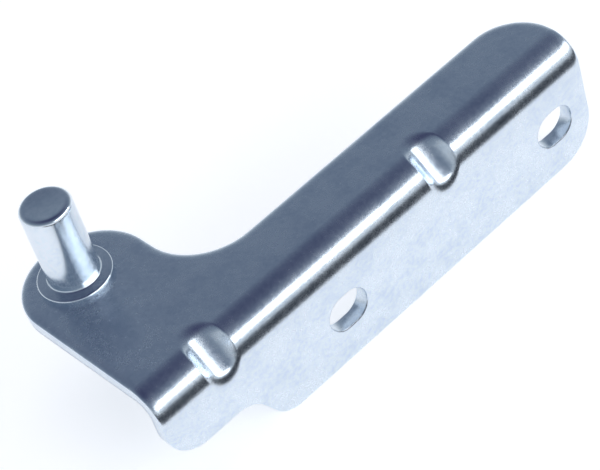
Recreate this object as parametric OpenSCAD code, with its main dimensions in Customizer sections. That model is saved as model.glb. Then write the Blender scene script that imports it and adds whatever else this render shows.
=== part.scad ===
// Bottom hinge bracket of a fridge door: a bent steel sheet with a riveted pivot pin.
// X runs along the bend, +Y from the cabinet towards the door, +Z up along the pin.
// The origin lies on the pin's axis at the top of the collar, where the door's bush rests.

/* [Sheet] */
// Thickness of the steel sheet
sheet_t = 2.5; // [1.5:0.1:4]
// Inside radius of the bend
bend_inner_r = 2.5; // [1:0.1:5]
// Overall length of the bracket along the bend
bracket_len = 86; // [80:0.5:140]
// From the pin's axis to the left end of the bracket
left_reach = 9.4; // [8:0.1:14]

/* [Plate] */
// From the pin's axis to the outer face of the flange
pin_setback = 28.4; // [26:0.1:40]
// Width of the plate beside the ear, from the outer face of the flange
strip_w = 13.6; // [10:0.1:16]
// Corner radius at the far end of the plate
plate_corner_r = 8; // [1:0.1:8]
// Radius of the ear's round end
ear_r = 10.1; // [9:0.1:12]
// From the ear's outermost point to the pin's axis
ear_reach = 8.3; // [7:0.1:12]
// Radius of the neck where the ear runs into the strip
neck_r = 10; // [2:0.1:10]

/* [Flange] */
// Height of the flange, from the top face of the plate down
flange_h = 21.2; // [19:0.1:35]
// Height of the shallow end of the flange, below the ear
lobe_h = 13.5; // [12:0.1:15]
// Corner radius of the shallow end
lobe_corner_r = 6; // [1:0.1:6]
// From the left end to the corner where the lower edge turns down
step_start = 14.5; // [11:0.1:17]
// Angle of the step's slope below the horizontal
step_angle = 60; // [40:1:75]
// Radius of both curves of the step
step_r = 5; // [1:0.1:5]
// Corner radius at the deep end of the flange
flange_corner_r = 7; // [1:0.1:8]

/* [Screw slots] */
// Width of a screw slot
slot_w = 6; // [4:0.1:8]
// End-to-end length of a screw slot
slot_len = 7.4; // [6:0.1:12]
// Distance between the centres of the two slots
slot_pitch = 44.5; // [30:0.5:46]
// From the right end to the centre of the nearer slot
slot_end_gap = 7.5; // [6.5:0.1:10]
// From the top face of the plate down to the slots' centres
slot_drop = 12.2; // [11:0.1:14]

/* [Darts] */
// Radius of the round groove of a dart
dart_r = 3.2; // [2:0.1:4]
// Depth of the groove at the crown of the bend
dart_depth = 2.1; // [1:0.1:2.4]
// Distance between the two darts
dart_pitch = 44.5; // [20:0.5:46]
// From the left end to the first dart
dart_start = 12; // [8:0.1:18]

/* [Pin] */
// Diameter of the pivot pin
pin_d = 8; // [6:0.1:10]
// Height of the pin above the plate's top face
pin_h = 15; // [10:0.5:30]
// Radius that rounds the pin's free end
pin_end_r = 0.8; // [0.2:0.1:2]
// Fillet where the pin runs into its collar
pin_foot_r = 0.35; // [0.1:0.05:0.6]
// Diameter of the collar that carries the door
collar_d = 11.5; // [10.5:0.1:14]
// Height of the collar
collar_h = 1; // [0.6:0.1:3]
// Radius that rounds the collar's upper edge
collar_edge_r = 0.3; // [0.1:0.05:0.5]
// Diameter of the shank through the plate
shank_d = 6; // [4:0.1:6]
// Diameter of the riveted tail under the plate
tail_d = 8.6; // [7.5:0.1:10]
// Height of the riveted tail
tail_h = 1.1; // [0.6:0.1:2]
// Height of the straight rim of the riveted tail
tail_rim = 0.3; // [0.1:0.05:0.5]

/* [Hidden] */
$fn = 96;
// Overlap that makes joined solids one
weld = 0.5;
// Reach of a cut past the faces that it opens
past = 1;
bend_outer_r = bend_inner_r + sheet_t;
left_x = -left_reach;
right_x = left_x + bracket_len;
face_y = -pin_setback;
far_y = face_y + strip_w;
bend_y = face_y + bend_outer_r;
ear_x = left_x + ear_r;
ear_y = ear_reach - ear_r;
ear_right = left_x + 2 * ear_r;
step_x = left_x + step_start;
step_rise = flange_h - lobe_h;
deep_x = step_x + step_rise / tan(step_angle);
slot_x = right_x - slot_end_gap;
dart_reach = 2 * (bend_outer_r + dart_r + sheet_t);
tail_cap_h = tail_h - tail_rim;
tail_sphere_r = (pow(tail_d / 2, 2) + pow(tail_cap_h, 2)) / (2 * tail_cap_h);

// The web between a corner at the origin and the arc that rounds it. One edge of the corner
// runs along X, the other leaves it at the angle spread
module corner_web(r, spread = 90) {
    run = r / tan(spread / 2);
    difference() {
        polygon([[0, 0], [run, 0], [run, r], run * [cos(spread), sin(spread)]]);
        translate([run, r]) circle(r);
    }
}

// Section across the bend, filled below the plate and behind the flange: the distance from
// the flange across, the height up
module bend_block(r) {
    difference() {
        translate([0, -flange_h]) square([pin_setback + ear_reach, flange_h]);
        mirror([0, 1]) corner_web(r);
    }
}

// Section of the bent sheet: the block of its outer skin, less the same block moved in by
// one thickness and rounded to the inside radius
module sheet_section() {
    difference() {
        bend_block(bend_outer_r);
        translate([sheet_t, -sheet_t]) bend_block(bend_inner_r);
    }
}

// Plan of the bracket, from the flange to the ear's round end
module plan_outline() {
    difference() {
        union() {
            translate([left_x, face_y]) square([bracket_len, strip_w]);
            translate([left_x, face_y]) square([2 * ear_r, ear_y - face_y]);
            translate([ear_x, ear_y]) circle(ear_r);
            translate([ear_right, far_y]) corner_web(neck_r);
        }
        translate([right_x, far_y]) mirror([1, 0]) mirror([0, 1]) corner_web(plate_corner_r);
        circle(d = shank_d);
    }
}

// One screw slot, centred on the origin and lying along X
module slot_outline() {
    half_run = (slot_len - slot_w) / 2;
    square([2 * half_run, slot_w], center = true);
    for (side = [-1, 1]) translate([side * half_run, 0]) circle(d = slot_w);
}

// Front view of the bracket: X across, Z up
module front_outline() {
    spread = 180 - step_angle;
    difference() {
        union() {
            polygon([
                [left_x, past], [left_x, -lobe_h], [step_x, -lobe_h],
                [deep_x, -flange_h], [right_x, -flange_h], [right_x, past]
            ]);
            translate([step_x, -lobe_h]) rotate(180) corner_web(step_r, spread);
        }
        translate([deep_x, -flange_h]) corner_web(step_r, spread);
        translate([left_x, -lobe_h]) corner_web(lobe_corner_r);
        translate([right_x, -flange_h]) mirror([1, 0]) corner_web(flange_corner_r);
        for (x = [slot_x - slot_pitch, slot_x]) translate([x, -slot_drop]) slot_outline();
    }
}

// The bent sheet: its section run past both ends, trimmed to the plan and the front view
module bent_sheet() {
    run_y = pin_setback + ear_reach + 2 * past;
    intersection() {
        translate([left_x - past, face_y, 0]) rotate([90, 0, 90])
            linear_extrude(bracket_len + 2 * past) sheet_section();
        translate([0, 0, -flange_h - past]) linear_extrude(flange_h + 2 * past) plan_outline();
        translate([0, ear_reach + past, 0]) rotate([90, 0, 0]) linear_extrude(run_y) front_outline();
    }
}

// A round bar across the bend at 45 degrees, over the path of the dart's press tool
module dart_bar(x, r) {
    crown = bend_outer_r - dart_depth + dart_r;
    translate([x, bend_y, -bend_outer_r]) rotate([45, 0, 0])
        translate([0, 0, crown]) rotate([90, 0, 0]) cylinder(r = r, h = dart_reach, center = true);
}

// The ridge that a dart raises in the inside corner, one sheet thickness round its groove
module dart_ridge(x) {
    ridge_r = dart_r + sheet_t;
    inner_y = face_y + sheet_t;
    intersection() {
        dart_bar(x, ridge_r);
        translate([x - ridge_r, inner_y - weld, -sheet_t + weld - dart_reach])
            cube([2 * ridge_r, dart_reach, dart_reach]);
    }
}

module bracket() {
    darts = [for (i = [0, 1]) left_x + dart_start + i * dart_pitch];
    color("lightsteelblue") translate([0, 0, -collar_h]) difference() {
        union() {
            bent_sheet();
            for (x = darts) dart_ridge(x);
        }
        for (x = darts) dart_bar(x, dart_r);
    }
}

// Half section of the pin: distance from the axis across, height above the plate up
module pin_section() {
    difference() {
        union() {
            square([pin_d / 2, pin_h]);
            square([collar_d / 2, collar_h]);
            translate([0, -sheet_t]) square([shank_d / 2, sheet_t]);
            translate([pin_d / 2, collar_h]) corner_web(pin_foot_r);
            translate([0, -sheet_t - tail_rim]) square([tail_d / 2, tail_rim]);
            intersection() {
                translate([0, -sheet_t - tail_h]) square([tail_d / 2, tail_cap_h]);
                translate([0, -sheet_t - tail_h + tail_sphere_r]) circle(tail_sphere_r);
            }
        }
        translate([pin_d / 2, pin_h]) mirror([1, 0]) mirror([0, 1]) corner_web(pin_end_r);
        translate([collar_d / 2, collar_h]) mirror([1, 0]) mirror([0, 1]) corner_web(collar_edge_r);
    }
}

module hinge_pin() {
    color("silver") translate([0, 0, -collar_h]) rotate_extrude() pin_section();
}

bracket();
hinge_pin();
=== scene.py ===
# %% [markdown]
# The bottom hinge of a fridge door: a strip of steel 2.5 mm thick, cut out, bent to an angle
# and zinc plated, with a turned pin riveted through its ear. This lesson dresses the CAD
# frame of the hinge. The frame gives the sizes, and the two pieces made here take the places
# of its two nodes. They have what the plain solids leave out: the rolled edges of a
# blanked sheet, the soft lips of the pressed darts, and the finish of the zinc.

# %% Load the frame
import math

import bpy
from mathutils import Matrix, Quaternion, Vector


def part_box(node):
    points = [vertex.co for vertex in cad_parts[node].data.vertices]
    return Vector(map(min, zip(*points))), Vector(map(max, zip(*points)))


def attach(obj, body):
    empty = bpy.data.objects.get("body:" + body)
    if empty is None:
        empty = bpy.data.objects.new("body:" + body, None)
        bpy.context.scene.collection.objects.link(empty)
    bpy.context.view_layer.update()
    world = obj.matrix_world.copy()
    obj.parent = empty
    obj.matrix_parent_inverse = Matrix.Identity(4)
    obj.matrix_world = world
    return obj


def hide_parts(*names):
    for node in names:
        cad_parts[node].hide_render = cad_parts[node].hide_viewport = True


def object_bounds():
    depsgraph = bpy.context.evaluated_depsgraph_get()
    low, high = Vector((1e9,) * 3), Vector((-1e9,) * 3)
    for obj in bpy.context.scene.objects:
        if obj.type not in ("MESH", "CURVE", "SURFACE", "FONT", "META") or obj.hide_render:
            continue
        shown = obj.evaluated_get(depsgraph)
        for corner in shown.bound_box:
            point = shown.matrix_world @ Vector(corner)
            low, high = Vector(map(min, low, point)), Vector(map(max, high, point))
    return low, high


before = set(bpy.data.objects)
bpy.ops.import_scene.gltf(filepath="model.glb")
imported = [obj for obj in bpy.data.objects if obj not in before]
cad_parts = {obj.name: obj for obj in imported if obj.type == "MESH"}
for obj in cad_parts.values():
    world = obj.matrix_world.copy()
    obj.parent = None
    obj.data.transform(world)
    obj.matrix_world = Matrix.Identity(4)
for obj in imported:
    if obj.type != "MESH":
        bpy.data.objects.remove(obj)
cad_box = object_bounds()
MM = 0.001
sheet_lo, sheet_hi = (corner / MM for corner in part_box("bracket"))
pin_lo, pin_hi = (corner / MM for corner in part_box("hinge_pin"))
print("bracket from", tuple(round(c, 2) for c in sheet_lo), "to", tuple(round(c, 2) for c in sheet_hi), "mm")

# %% [markdown]
# The camera stands where the photograph was taken from: above the ear's side of the bend,
# turned a little about its own axis, so that the pin leans to the left in the picture. Its
# place is given round the middle of the view by a direction, a height angle and a distance.

# %% Camera
PHOTO_WIDTH = 600
FOCAL_PIXELS = 2299.6
SENSOR = 36.0
view_middle = Vector((29.279, -14.008, -9.990)) * MM
view_azimuth = math.radians(-120.23)
view_height = math.radians(43.269)
view_roll = math.radians(-18.949)
view_distance = 338.6 * MM

towards_camera = Vector((
    math.cos(view_azimuth) * math.cos(view_height),
    math.sin(view_azimuth) * math.cos(view_height),
    math.sin(view_height),
))
camera_data = bpy.data.cameras.new("camera")
camera_data.sensor_width = SENSOR
camera_data.lens = FOCAL_PIXELS / PHOTO_WIDTH * SENSOR
camera_data.clip_start = 0.01
camera = bpy.data.objects.new("camera", camera_data)
bpy.context.scene.collection.objects.link(camera)
camera.location = view_middle + towards_camera * view_distance
camera.rotation_mode = "QUATERNION"
level = (-towards_camera).to_track_quat("-Z", "Y")
camera.rotation_quaternion = level @ Quaternion((0, 0, 1), view_roll)
bpy.context.scene.camera = camera
print("lens", round(camera_data.lens, 1), "mm, camera at", tuple(round(c, 4) for c in camera.location))

# %% [markdown]
# Shader maths is easier to read as sums than as a picture of wires. The class below holds
# one output socket and turns + - * / into Math nodes. One method, make, adds any other node.

# %% Sockets as numbers
class Wire:
    tree = None

    def __init__(self, socket):
        self.socket = socket

    @classmethod
    def make(cls, kind, output=0, settings=None, **inputs):
        node = cls.tree.nodes.new(kind)
        for name, value in (settings or {}).items():
            if name == "stops":
                ramp = node.color_ramp
                while len(ramp.elements) < len(value):
                    ramp.elements.new(0.5)
                for stop, (place, colour) in zip(ramp.elements, value):
                    stop.position, stop.color = place, colour
            else:
                setattr(node, name, value)
        for name, value in inputs.items():
            key = int(name[1:]) if name[1:].isdigit() else name.replace("_", " ")
            cls.plug(node.inputs[key], value)
        return cls(node.outputs[output])

    @classmethod
    def plug(cls, socket, value):
        if isinstance(value, Wire):
            cls.tree.links.new(value.socket, socket)
        else:
            socket.default_value = value

    def maths(self, operation, *others, clamp=False):
        values = {f"i{k}": v for k, v in enumerate((self, *others))}
        return Wire.make("ShaderNodeMath", settings={"operation": operation, "use_clamp": clamp}, **values)

    def __add__(self, other):
        return self.maths("ADD", other)

    def __mul__(self, other):
        return self.maths("MULTIPLY", other)

    def __sub__(self, other):
        return self.maths("SUBTRACT", other)

    def __truediv__(self, other):
        return self.maths("DIVIDE", other)

    def __rsub__(self, other):
        return Wire.make(
            "ShaderNodeMath", settings={"operation": "SUBTRACT"}, i0=other, i1=self
        )

    __radd__ = __add__
    __rmul__ = __mul__

    def between(self, low, high):
        return Wire.make(
            "ShaderNodeMapRange", settings={"interpolation_type": "SMOOTHSTEP"},
            Value=self, From_Min=low, From_Max=high,
        )


def new_material(name):
    material = bpy.data.materials.new(name)
    material.use_nodes = True
    material.node_tree.nodes.clear()
    Wire.tree = material.node_tree
    return material


def finish_material(shader):
    output = Wire.tree.nodes.new("ShaderNodeOutputMaterial")
    Wire.tree.links.new(shader.socket, output.inputs["Surface"])


def noise(place, scale, detail=3.0, roughness=0.5, stretch=None):
    if stretch:
        place = Wire.make("ShaderNodeMapping", Vector=place, Scale=stretch)
    return Wire.make("ShaderNodeTexNoise", Vector=place, Scale=scale, Detail=detail, Roughness=roughness)


def blend(low, high, factor):
    return Wire.make(
        "ShaderNodeMix", output=2, settings={"data_type": "RGBA"}, i0=factor, i6=low, i7=high
    )


print("shader helpers ready")

# %% [markdown]
# The bracket starts as a flat blank. Its outline is a run of arcs joined by straight lines,
# so only the arcs are listed. Across the blank, x runs along the bend and v runs over the
# outer skin: above zero lies the plate, then comes the bend, and below it the flange.

# %% Sizes of the sheet
THICK = 2.5
BEND_R = 5.0
BEND_RUN = BEND_R * math.pi / 2
left, right = sheet_lo.x, sheet_hi.x
face_y, ear_tip_y = sheet_lo.y, sheet_hi.y
top_z, foot_z = sheet_hi.z, sheet_lo.z
bend_y = face_y + BEND_R
bend_z = top_z - BEND_R
STRIP_W = 13.6
EAR_R = 10.1
NECK_R = 10.0
PLATE_CORNER_R = 8.0
LOBE_H = 13.5
LOBE_R = 6.0
STEP_START = 14.5
STEP_ANGLE = math.radians(60)
STEP_R = 5.0
FLANGE_R = 7.0
SLOT_R = 3.0
SLOT_HALF_RUN = 0.7
SLOT_DROP = 12.2
SLOT_PITCH = 44.5
SLOT_END_GAP = 7.5
SHANK_R = 3.0
far_y = face_y + STRIP_W
print("bend run", round(BEND_RUN, 2), "mm")


# %% Outline of the blank
def v_of_y(y):
    return y - bend_y


def v_of_drop(drop):
    return BEND_R - BEND_RUN - drop


def arc(centre, radius, start, end, inwards=1, step=5.0):
    count = max(2, math.ceil(abs(end - start) / step))
    points = []
    for k in range(count + 1):
        a = math.radians(start + (end - start) * k / count)
        out = (math.cos(a), math.sin(a))
        place = (centre[0] + radius * out[0], centre[1] + radius * out[1])
        points.append((*place, -inwards * out[0], -inwards * out[1]))
    return points


flange_h = top_z - foot_z
step_x = left + STEP_START
deep_x = step_x + (flange_h - LOBE_H) / math.tan(STEP_ANGLE)
step_run = STEP_R * math.tan((math.pi - 2 * (math.pi / 2 - STEP_ANGLE / 2)) / 2)
slope = math.degrees(STEP_ANGLE)
ear_x, ear_v = left + EAR_R, v_of_y(ear_tip_y - EAR_R)
blank = [
    *arc((right - PLATE_CORNER_R, v_of_y(far_y - PLATE_CORNER_R)), PLATE_CORNER_R, 0, 90),
    *arc((left + 2 * EAR_R + NECK_R, v_of_y(far_y + NECK_R)), NECK_R, 270, 180, -1),
    *arc((ear_x, ear_v), EAR_R, 0, 180),
    *arc((left + LOBE_R, v_of_drop(LOBE_H - LOBE_R)), LOBE_R, 180, 270),
    *arc((step_x - step_run, v_of_drop(LOBE_H + STEP_R)), STEP_R, 90, 90 - slope, -1),
    *arc((deep_x + step_run, v_of_drop(flange_h - STEP_R)), STEP_R, 270 - slope, 270),
    *arc((right - FLANGE_R, v_of_drop(flange_h - FLANGE_R)), FLANGE_R, 270, 360),
]
slot_x = right - SLOT_END_GAP
slot_v = v_of_drop(SLOT_DROP)
holes = [arc((0, v_of_y(0)), SHANK_R, 360, 0, -1)[:-1]]
for x in (slot_x - SLOT_PITCH, slot_x):
    holes.append(
        arc((x + SLOT_HALF_RUN, slot_v), SLOT_R, 90, -90, -1)
        + arc((x - SLOT_HALF_RUN, slot_v), SLOT_R, 270, 90, -1)
    )
print("outline", len(blank), "points,", len(holes), "holes, step run", round(step_run, 3))

# %% [markdown]
# A press cuts the blank from above. The upper edge is drawn down before it shears, which
# leaves a wide soft roll. Below it the wall is straight, then torn and slightly tapered, and
# the lower edge stays sharp. Each edge is a stack of rings, given by how far a ring lies in
# from the outline and how deep it lies under the outer skin. The slots are punched with
# a closer tool, so their roll is small.

# %% Edge rings and the closed blank
def edge_section(roll_w, roll_h, rings, taper):
    section = []
    for k in range(rings + 1):
        a = math.pi / 2 * k / rings
        section.append((roll_w * (1 - math.sin(a)), roll_h * (1 - math.cos(a))))
    section += [(0.0, THICK * 0.5), (taper, THICK * 0.96), (2 * taper, THICK)]
    return section


ROLL_W, ROLL_H = 1.5, 0.45
SLOT_ROLL_W, SLOT_ROLL_H = 0.55, 0.2
edge_cuts = [(blank, edge_section(ROLL_W, ROLL_H, 9, 0.05))]
edge_cuts += [(hole, edge_section(SLOT_ROLL_W, SLOT_ROLL_H, 6, 0.03)) for hole in holes]

corners, faces, cap_rings = [], [], []
for loop, section in edge_cuts:
    count, first = len(loop), len(corners)
    for inset, depth in section:
        corners += [(x + nx * inset, v + nv * inset, -depth) for x, v, nx, nv in loop]
    for ring in range(len(section) - 1):
        a, b = first + ring * count, first + (ring + 1) * count
        faces += [(a + k, b + k, b + (k + 1) % count, a + (k + 1) % count) for k in range(count)]
    cap_rings.append((first, first + (len(section) - 1) * count, count))

mesh = bpy.data.meshes.new("plated_bracket")
mesh.from_pydata(corners, [], faces)
bracket = bpy.data.objects.new("plated_bracket", mesh)
bpy.context.scene.collection.objects.link(bracket)
print("rings", len(corners), "corners", len(faces), "faces")


# %% Close both skins
def only(piece):
    bpy.ops.object.select_all(action="DESELECT")
    bpy.context.view_layer.objects.active = piece
    piece.select_set(True)


def pick(piece, kind, test):
    if bpy.context.mode == "EDIT_MESH":
        bpy.ops.object.mode_set(mode="OBJECT")
    kinds = ("vertices", "edges", "polygons")
    bpy.context.tool_settings.mesh_select_mode = [kind == each for each in kinds]
    for each in kinds:
        group = getattr(piece.data, each)
        group.foreach_set("select", [kind == each and test(item) for item in group])
    bpy.ops.object.mode_set(mode="EDIT")


only(bracket)
for side in (0, 1):
    rims = {first + k for *starts, count in cap_rings for first in [starts[side]] for k in range(count)}
    pick(bracket, "edges", lambda edge: all(v in rims for v in edge.vertices))
    bpy.ops.mesh.fill(use_beauty=True)
    bpy.ops.object.mode_set(mode="OBJECT")
print("closed blank", len(bracket.data.polygons), "faces")

# %% [markdown]
# A flat face can't follow a bend, so the blank is cut across in narrow strips where it will
# turn, and in a fine lattice where the two darts will be pressed. Bisect cuts every face that
# it meets and shares the new corners, so the blank stays closed.

# %% Cut lines for the bend and the darts
DART_R = 3.2
DART_DEPTH = 2.1
DART_LIP = 1.1
DART_START = 12.0
DART_PITCH = 44.5
DART_ZONE = 5.6
DART_RUN_OUT = 4.0
BEND_STRIPS = 36
darts = [left + DART_START + k * DART_PITCH for k in (0, 1)]


def cut_lines(place, normal, chosen):
    pick(bracket, "polygons", chosen)
    bpy.ops.mesh.bisect(plane_co=place, plane_no=normal)


def middle_in(x_range, v_range):
    return lambda face: (
        x_range[0] < face.center.x < x_range[1] and v_range[0] < face.center.y < v_range[1]
    )


def everywhere(face):
    return True


for k in range(BEND_STRIPS + 1):
    cut_lines((0, -BEND_RUN * k / BEND_STRIPS, 0), (0, 1, 0), everywhere)
for dart in darts:
    for side in (-DART_ZONE, DART_ZONE):
        cut_lines((dart + side, 0, 0), (1, 0, 0), everywhere)
    bpy.ops.object.mode_set(mode="OBJECT")
print("strips cut", len(bracket.data.polygons), "faces")

# %% Lattice under each dart
strip = BEND_RUN / BEND_STRIPS
run_outs = [strip * k for k in range(1, round(DART_RUN_OUT / strip) + 1)]
columns = [0.0]
while columns[-1] < DART_ZONE - 0.3:
    near_lip = abs(columns[-1] - DART_R + 0.2) < 1.0
    columns.append(columns[-1] + (0.11 if near_lip else 0.28))
for dart in darts:
    zone = (dart - DART_ZONE - 0.01, dart + DART_ZONE + 0.01)
    for run_out in run_outs:
        for v in (run_out, -BEND_RUN - run_out):
            cut_lines((0, v, 0), (0, 1, 0), middle_in(zone, (-99, 99)))
    lattice = middle_in(zone, (-BEND_RUN - run_outs[-1], run_outs[-1]))
    for column in columns:
        for x in {dart - column, dart + column}:
            cut_lines((x, 0, 0), (1, 0, 0), lattice)
bpy.ops.object.mode_set(mode="OBJECT")
print("lattice cut", len(bracket.data.polygons), "faces")

# %% [markdown]
# Now the blank is bent and pressed. Bending wraps v round the bend and leaves the depth under
# the skin as it is, so the section keeps its thickness. The darts are pressed last: a round
# tool comes in at 45 degrees and pushes the sheet before it. Its mark meets the skin with a
# soft lip, made by a smooth minimum of the skin's height and the tool's height.

# %% Bend and press
def skin_place(v, depth):
    if v >= 0:
        return bend_y + v, top_z - depth
    if v > -BEND_RUN:
        a = -v / BEND_R
        reach = BEND_R - depth
        return bend_y - reach * math.sin(a), bend_z + reach * math.cos(a)
    return face_y + depth, bend_z + (v + BEND_RUN)


def soft_min(a, b, width):
    share = min(max(0.5 + 0.5 * (b - a) / width, 0.0), 1.0)
    return b + (a - b) * share - width * share * (1 - share)


def press(x, v):
    y, z = skin_place(v, 0)
    height = ((z - bend_z) - (y - bend_y)) / math.sqrt(2)
    lowered = height
    for dart in darts:
        off = abs(x - dart)
        if off < DART_ZONE:
            inside = min(off, DART_R * 0.98)
            tool = BEND_R - DART_DEPTH + DART_R - math.sqrt(DART_R**2 - inside**2)
            tool += (off - inside) * 4.8
            lowered = min(lowered, soft_min(height, tool, DART_LIP))
    return height - lowered


for corner in bracket.data.vertices:
    x, v, up = corner.co
    y, z = skin_place(v, -up)
    push = press(x, v) / math.sqrt(2)
    corner.co = Vector((x, y + push, z - push)) * MM
bracket.data.update()

only(bracket)
bpy.ops.object.mode_set(mode="EDIT")
bpy.ops.mesh.select_all(action="SELECT")
bpy.ops.mesh.remove_doubles(threshold=0.002 * MM)
bpy.ops.mesh.normals_make_consistent(inside=False)
bpy.ops.object.mode_set(mode="OBJECT")
bpy.ops.object.shade_smooth_by_angle(angle=math.radians(32))
print("bracket", len(bracket.data.polygons), "faces, box", [round(c / MM, 2) for c in bracket.dimensions])

# %% [markdown]
# The pin is turned from bar: a plain journal with a rounded end, a collar that carries the
# door's bush, and a shank that goes through the ear and is hammered over below. Half of its
# section is drawn and spun about the axis.

# %% Section of the pin
PIN_R = 4.0
PIN_END_R = 0.8
FOOT_R = 0.35
COLLAR_R = 5.75
COLLAR_EDGE_R = 0.3
TAIL_R = 4.3
TAIL_RIM = 0.3
END_DIP_R = 2.9
END_DIP = 0.06


def quarter(centre_r, centre_z, radius, start, end, count=8):
    steps = [math.radians(start + (end - start) * k / count) for k in range(count + 1)]
    return [(centre_r + radius * math.cos(a), centre_z + radius * math.sin(a)) for a in steps]


under_z = top_z - THICK
tail_z = pin_lo.z
tail_cap = under_z - TAIL_RIM - tail_z
tail_sphere = (TAIL_R**2 + tail_cap**2) / (2 * tail_cap)
half_angle = math.degrees(math.asin(TAIL_R / tail_sphere))
section = [(0.0, pin_hi.z - END_DIP), (END_DIP_R - 0.4, pin_hi.z - END_DIP), (END_DIP_R, pin_hi.z)]
section += quarter(PIN_R - PIN_END_R, pin_hi.z - PIN_END_R, PIN_END_R, 90, 0)
section += quarter(PIN_R + FOOT_R, FOOT_R, FOOT_R, 180, 270, 5)
section += quarter(COLLAR_R - COLLAR_EDGE_R, -COLLAR_EDGE_R, COLLAR_EDGE_R, 90, 0, 6)
section += [(COLLAR_R, top_z), (SHANK_R, top_z), (SHANK_R, under_z), (TAIL_R, under_z)]
section += quarter(0.0, tail_z + tail_sphere, tail_sphere, half_angle - 90, -90, 8)
mesh = bpy.data.meshes.new("turned_pin")
mesh.from_pydata(
    [(r * MM, 0, z * MM) for r, z in section], [(k, k + 1) for k in range(len(section) - 1)], []
)
pin = bpy.data.objects.new("turned_pin", mesh)
bpy.context.scene.collection.objects.link(pin)
only(pin)
bpy.ops.object.mode_set(mode="EDIT")
bpy.ops.mesh.select_all(action="SELECT")
bpy.ops.mesh.spin(steps=96, angle=2 * math.pi, center=(0, 0, 0), axis=(0, 0, 1))
bpy.ops.mesh.select_all(action="SELECT")
bpy.ops.mesh.remove_doubles(threshold=0.001 * MM)
bpy.ops.mesh.normals_make_consistent(inside=False)
bpy.ops.object.mode_set(mode="OBJECT")
bpy.ops.object.shade_smooth_by_angle(angle=math.radians(30))
print("pin", len(pin.data.polygons), "faces")

# %% [markdown]
# Bright zinc is a metal with a cold tint. Tumbling in the plating barrel covers it in small
# dents and short strokes, which break up what it mirrors.

# %% Zinc on the sheet
def zinc(name, tint, shade, gloss, dents):
    material = new_material(name)
    place = Wire.make("ShaderNodeTexCoord", output="Object")
    cloud = noise(place, 180.0, 4.0, 0.6)
    grain = noise(place, 1400.0, 3.0, 0.6)
    strokes = noise(place, 900.0, 2.0, 0.5, stretch=(1.0, 0.35, 1.0))
    colour = blend(shade, tint, (cloud * 0.6 + grain * 0.4).between(0.3, 0.62))
    rough = gloss + (cloud - 0.5) * 0.12 + (grain - 0.5) * 0.1
    height = (grain - 0.5) * 0.5 + (strokes - 0.5) * 0.6 + (cloud - 0.5) * 0.8
    bump = Wire.make("ShaderNodeBump", Strength=dents, Distance=0.00003, Height=height)
    finish_material(Wire.make(
        "ShaderNodeBsdfPrincipled", Base_Color=colour, Metallic=1.0, Roughness=rough, Normal=bump
    ))
    return material


sheet_zinc = zinc("sheet_zinc", (0.72, 0.79, 0.86, 1), (0.58, 0.66, 0.76, 1), 0.26, 0.5)
pin_zinc = zinc("pin_zinc", (0.74, 0.80, 0.86, 1), (0.62, 0.70, 0.78, 1), 0.2, 0.3)
bracket.data.materials.append(sheet_zinc)
pin.data.materials.append(pin_zinc)
print("finishes", [m.name for m in (sheet_zinc, pin_zinc)])

# %% [markdown]
# Metal shows what stands round it, so the studio matters as much as the finish.

# %% Studio
floor_z = cad_box[0].z


def card(name, width, depth, place, direction=None):
    bpy.ops.object.select_all(action="DESELECT")
    bpy.ops.mesh.primitive_plane_add(size=1.0, location=place)
    piece = bpy.context.active_object
    piece.name = name
    piece.scale = (width, depth, 1)
    if direction:
        piece.rotation_mode = "QUATERNION"
        piece.rotation_quaternion = Vector(direction).to_track_quat("Z", "Y")
    return piece


floor = card("floor", 6.0, 6.0, (0, 0, floor_z))
paper = new_material("floor_paper")
path = Wire.make("ShaderNodeLightPath", output="Is Camera Ray")
mirror = Wire.make("ShaderNodeLightPath", output="Is Glossy Ray")
seen = path.maths("MAXIMUM", mirror)
lit = Wire.make("ShaderNodeBsdfDiffuse", Color=(0.9, 0.9, 0.9, 1))
glow = Wire.make("ShaderNodeEmission", Color=(1, 1, 1, 1), Strength=seen * 0.55)
finish_material(Wire.make("ShaderNodeAddShader", i0=lit, i1=glow))
floor.data.materials.append(paper)

flag = card("dark_flag", 0.30, 0.02, (0.06, -0.053, floor_z + 0.010), (0, 1, 0))
flag.visible_camera = False
flag.visible_diffuse = False
flag.visible_shadow = False
black = new_material("flag_felt")
finish_material(Wire.make("ShaderNodeEmission", Color=(0.035, 0.04, 0.05, 1), Strength=1.0))
flag.data.materials.append(black)


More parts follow.
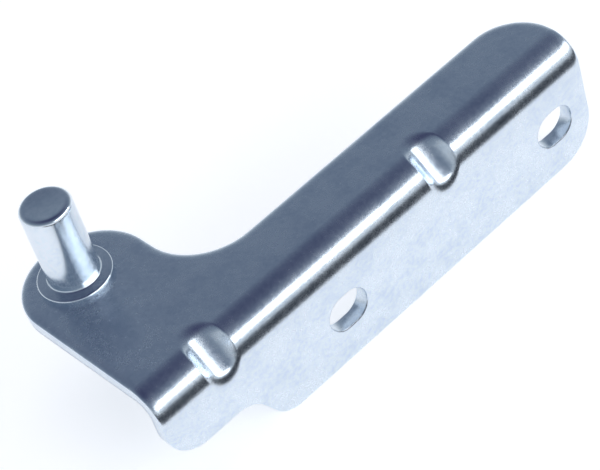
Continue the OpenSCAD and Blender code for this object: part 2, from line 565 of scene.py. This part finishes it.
def softbox(name, azimuth, height, distance, width, tall, radiance, aim=(0.03, -0.02, -0.01)):
    lamp = bpy.data.lights.new(name, "AREA")
    lamp.shape = "RECTANGLE"
    lamp.size, lamp.size_y = width, tall
    lamp.energy = radiance * math.pi * width * tall
    piece = bpy.data.objects.new(name, lamp)
    bpy.context.scene.collection.objects.link(piece)
    a, e = math.radians(azimuth), math.radians(height)
    out = Vector((math.cos(a) * math.cos(e), math.sin(a) * math.cos(e), math.sin(e)))
    piece.location = Vector(aim) + out * distance
    piece.rotation_mode = "QUATERNION"
    piece.rotation_quaternion = out.to_track_quat("Z", "Y")
    piece.visible_camera = False
    return piece


key = softbox("key_softbox", -63, 29, 0.8, 1.2, 0.2, 4.0)
fill = softbox("floor_fill", 60, 80, 1.0, 0.8, 0.8, 1.2)
fill.visible_glossy = False

# %% World
world = bpy.data.worlds.new("studio")
world.use_nodes = True
world.node_tree.nodes.clear()
Wire.tree = world.node_tree
bpy.context.scene.world = world
way = Wire.make("ShaderNodeTexCoord", output="Generated")
height = Wire.make("ShaderNodeSeparateXYZ", output="Z", Vector=way)
room = Wire.make(
    "ShaderNodeValToRGB",
    settings={"stops": [
        (0.0, (0.80, 0.84, 0.88, 1)), (0.12, (0.70, 0.75, 0.80, 1)), (0.45, (0.22, 0.27, 0.34, 1)),
        (0.70, (0.17, 0.21, 0.28, 1)), (1.0, (0.05, 0.055, 0.12, 1)),
    ]},
    Fac=height,
)
direct = Wire.make("ShaderNodeLightPath", output="Is Camera Ray")
sky = Wire.make("ShaderNodeBackground", Color=blend(room, (1, 1, 1, 1), direct), Strength=1.0)
output = Wire.tree.nodes.new("ShaderNodeOutputWorld")
Wire.tree.links.new(sky.socket, output.inputs["Surface"])
bpy.context.scene.view_settings.view_transform = "Standard"
print("studio ready")

# %% [markdown]
# Each piece rides on the part's one body, and the CAD node whose place it takes is hidden.

# %% Hand the pieces to the frame
for piece, node, slot in ((bracket, "bracket", "plated_sheet"), (pin, "hinge_pin", "plated_pin")):
    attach(piece, "root")
    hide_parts(node)
